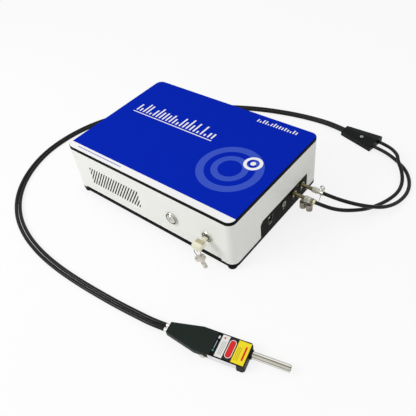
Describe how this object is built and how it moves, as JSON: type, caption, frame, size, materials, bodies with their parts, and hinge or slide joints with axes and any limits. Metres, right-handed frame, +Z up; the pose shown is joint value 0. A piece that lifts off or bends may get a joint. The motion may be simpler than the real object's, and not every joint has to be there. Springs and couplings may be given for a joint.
{
  "type": "raman spectrometer",
  "caption": "Bench spectrometer in a flat box with a slotted grille, push button, key switch and side ports, and a hand-held fibre probe on two joined cables.",
  "frame": {"origin": "middle of the box round the case, its connectors and the probe, at the table", "axes": "+Z up, -Y toward the front face with the grille, +X toward the side with the sockets"},
  "size_m": [0.6191, 0.5299, 0.0958],
  "materials": {
    "white_paint": "satin powder coat",
    "black_coated_plate": "satin black powder coat",
    "printed_film": "printed film, blue with a white strip",
    "black_rubber": "matt",
    "cable_jacket": "satin",
    "steel": "plain",
    "chrome_plate": "polished",
    "brass": "turned",
    "crimp_metal": "satin",
    "key_plastic": "moulded, cream",
    "socket_metal": "plain",
    "fan_plastic": "matt",
    "board": "solder resist",
    "anodised": "black anodised",
    "bare_aluminium": "milled",
    "optic_glass": "polished",
    "fibre_sleeve": "orange sleeve",
    "probe_black": "satin",
    "label_film": "printed film, white, black and yellow fields"
  },
  "bodies": {
    "case": {"shell": "white_paint", "base_plate": "black_coated_plate", "front_sill": "black_coated_plate", "top_plate": "black_coated_plate", "connector_panel": "black_coated_plate", "fan_bracket": "black_coated_plate", "top_film": "printed_film", "feet": "black_rubber", "leg_cord_a": "cable_jacket", "leg_cord_b": "cable_jacket", "twin_cord_a": "cable_jacket", "twin_cord_b": "cable_jacket", "underside_screws": "steel", "inner_screws": "steel", "corner_posts": "steel", "standoffs": "steel", "junction_screw": "steel", "cap_tether": "steel", "probe_tube": "steel", "panel_nuts": "steel", "power_button_housing": "chrome_plate", "lock_housing": "chrome_plate", "probe_ferrules": "chrome_plate", "fibre_ports": "brass", "connector_a": "crimp_metal", "connector_b": "crimp_metal", "usb_socket": "socket_metal", "power_jack": "socket_metal", "fan_frame": "fan_plastic", "driver_board": "board", "control_board": "board", "detector_board": "board", "bench_base": "anodised", "bench_cover": "anodised", "slit_holder": "anodised", "laser_spreader": "bare_aluminium", "laser_module": "bare_aluminium", "detector_heat_sink": "bare_aluminium", "probe_side_plates": "bare_aluminium", "bench_mirrors": "optic_glass", "grating": "optic_glass", "probe_optics": "optic_glass", "fibre_leads": "fibre_sleeve", "probe_body": "probe_black", "probe_lid": "probe_black", "probe_front_cap": "probe_black", "junction_base": "probe_black", "junction_lid": "probe_black", "probe_label": "label_film"},
    "power_button": {"power_button_cap": "chrome_plate"},
    "key_switch": {"lock_rotor": "steel", "key": "key_plastic"},
    "ring": {"key_ring": "steel"},
    "spare": {"spare_key": "steel"},
    "nut_a": {"coupling_nut_a": "chrome_plate"},
    "nut_b": {"coupling_nut_b": "chrome_plate"},
    "caps": {"dust_caps": "chrome_plate"},
    "fan": {"fan_rotor": "fan_plastic"},
    "trigger": {"trigger_button": "chrome_plate"}
  },
  "joints": [
    {"name": "power_button_press", "type": "slide", "parent": "case", "child": "power_button", "axis": [0, 1, 0], "range_m": [0, 0.0015], "stiffness_N_per_m": 800, "springref_m": -0.002},
    {"name": "key_turn", "type": "hinge", "parent": "case", "child": "key_switch", "pos_m": [0.04979, -0.04704, 0.049], "axis": [0, 1, 0], "range_deg": [0, 90]},
    {"name": "ring_swing", "type": "hinge", "parent": "key_switch", "child": "ring", "pos_m": [0.04979, -0.06974, 0.0433], "axis": [1, 0, 0], "range_deg": [-60, 25]},
    {"name": "spare_key_swing", "type": "hinge", "parent": "ring", "child": "spare", "pos_m": [0.05211, -0.06974, 0.02966], "axis": [-0.7071, 0.7071, 0], "range_deg": [-16, 44]},
    {"name": "coupling_nut_a_turn", "type": "hinge", "parent": "case", "child": "nut_a", "pos_m": [0.09409, 0.12966, 0.032], "axis": [1, 0, 0], "continuous": true},
    {"name": "coupling_nut_b_turn", "type": "hinge", "parent": "case", "child": "nut_b", "pos_m": [0.09409, 0.10626, 0.032], "axis": [1, 0, 0], "continuous": true},
    {"name": "dust_caps_swing", "type": "hinge", "parent": "case", "child": "caps", "pos_m": [0.12609, 0.10626, 0.032], "axis": [1, 0, 0], "range_deg": [-35, 35]},
    {"name": "fan_spin", "type": "hinge", "parent": "case", "child": "fan", "pos_m": [-0.13721, -0.04204, 0.051], "axis": [0, 1, 0], "continuous": true},
    {"name": "trigger_press", "type": "slide", "parent": "case", "child": "trigger", "axis": [-0.2334, 0.9724, 0], "range_m": [0, 0.0012], "stiffness_N_per_m": 800, "springref_m": -0.002}
  ]
}
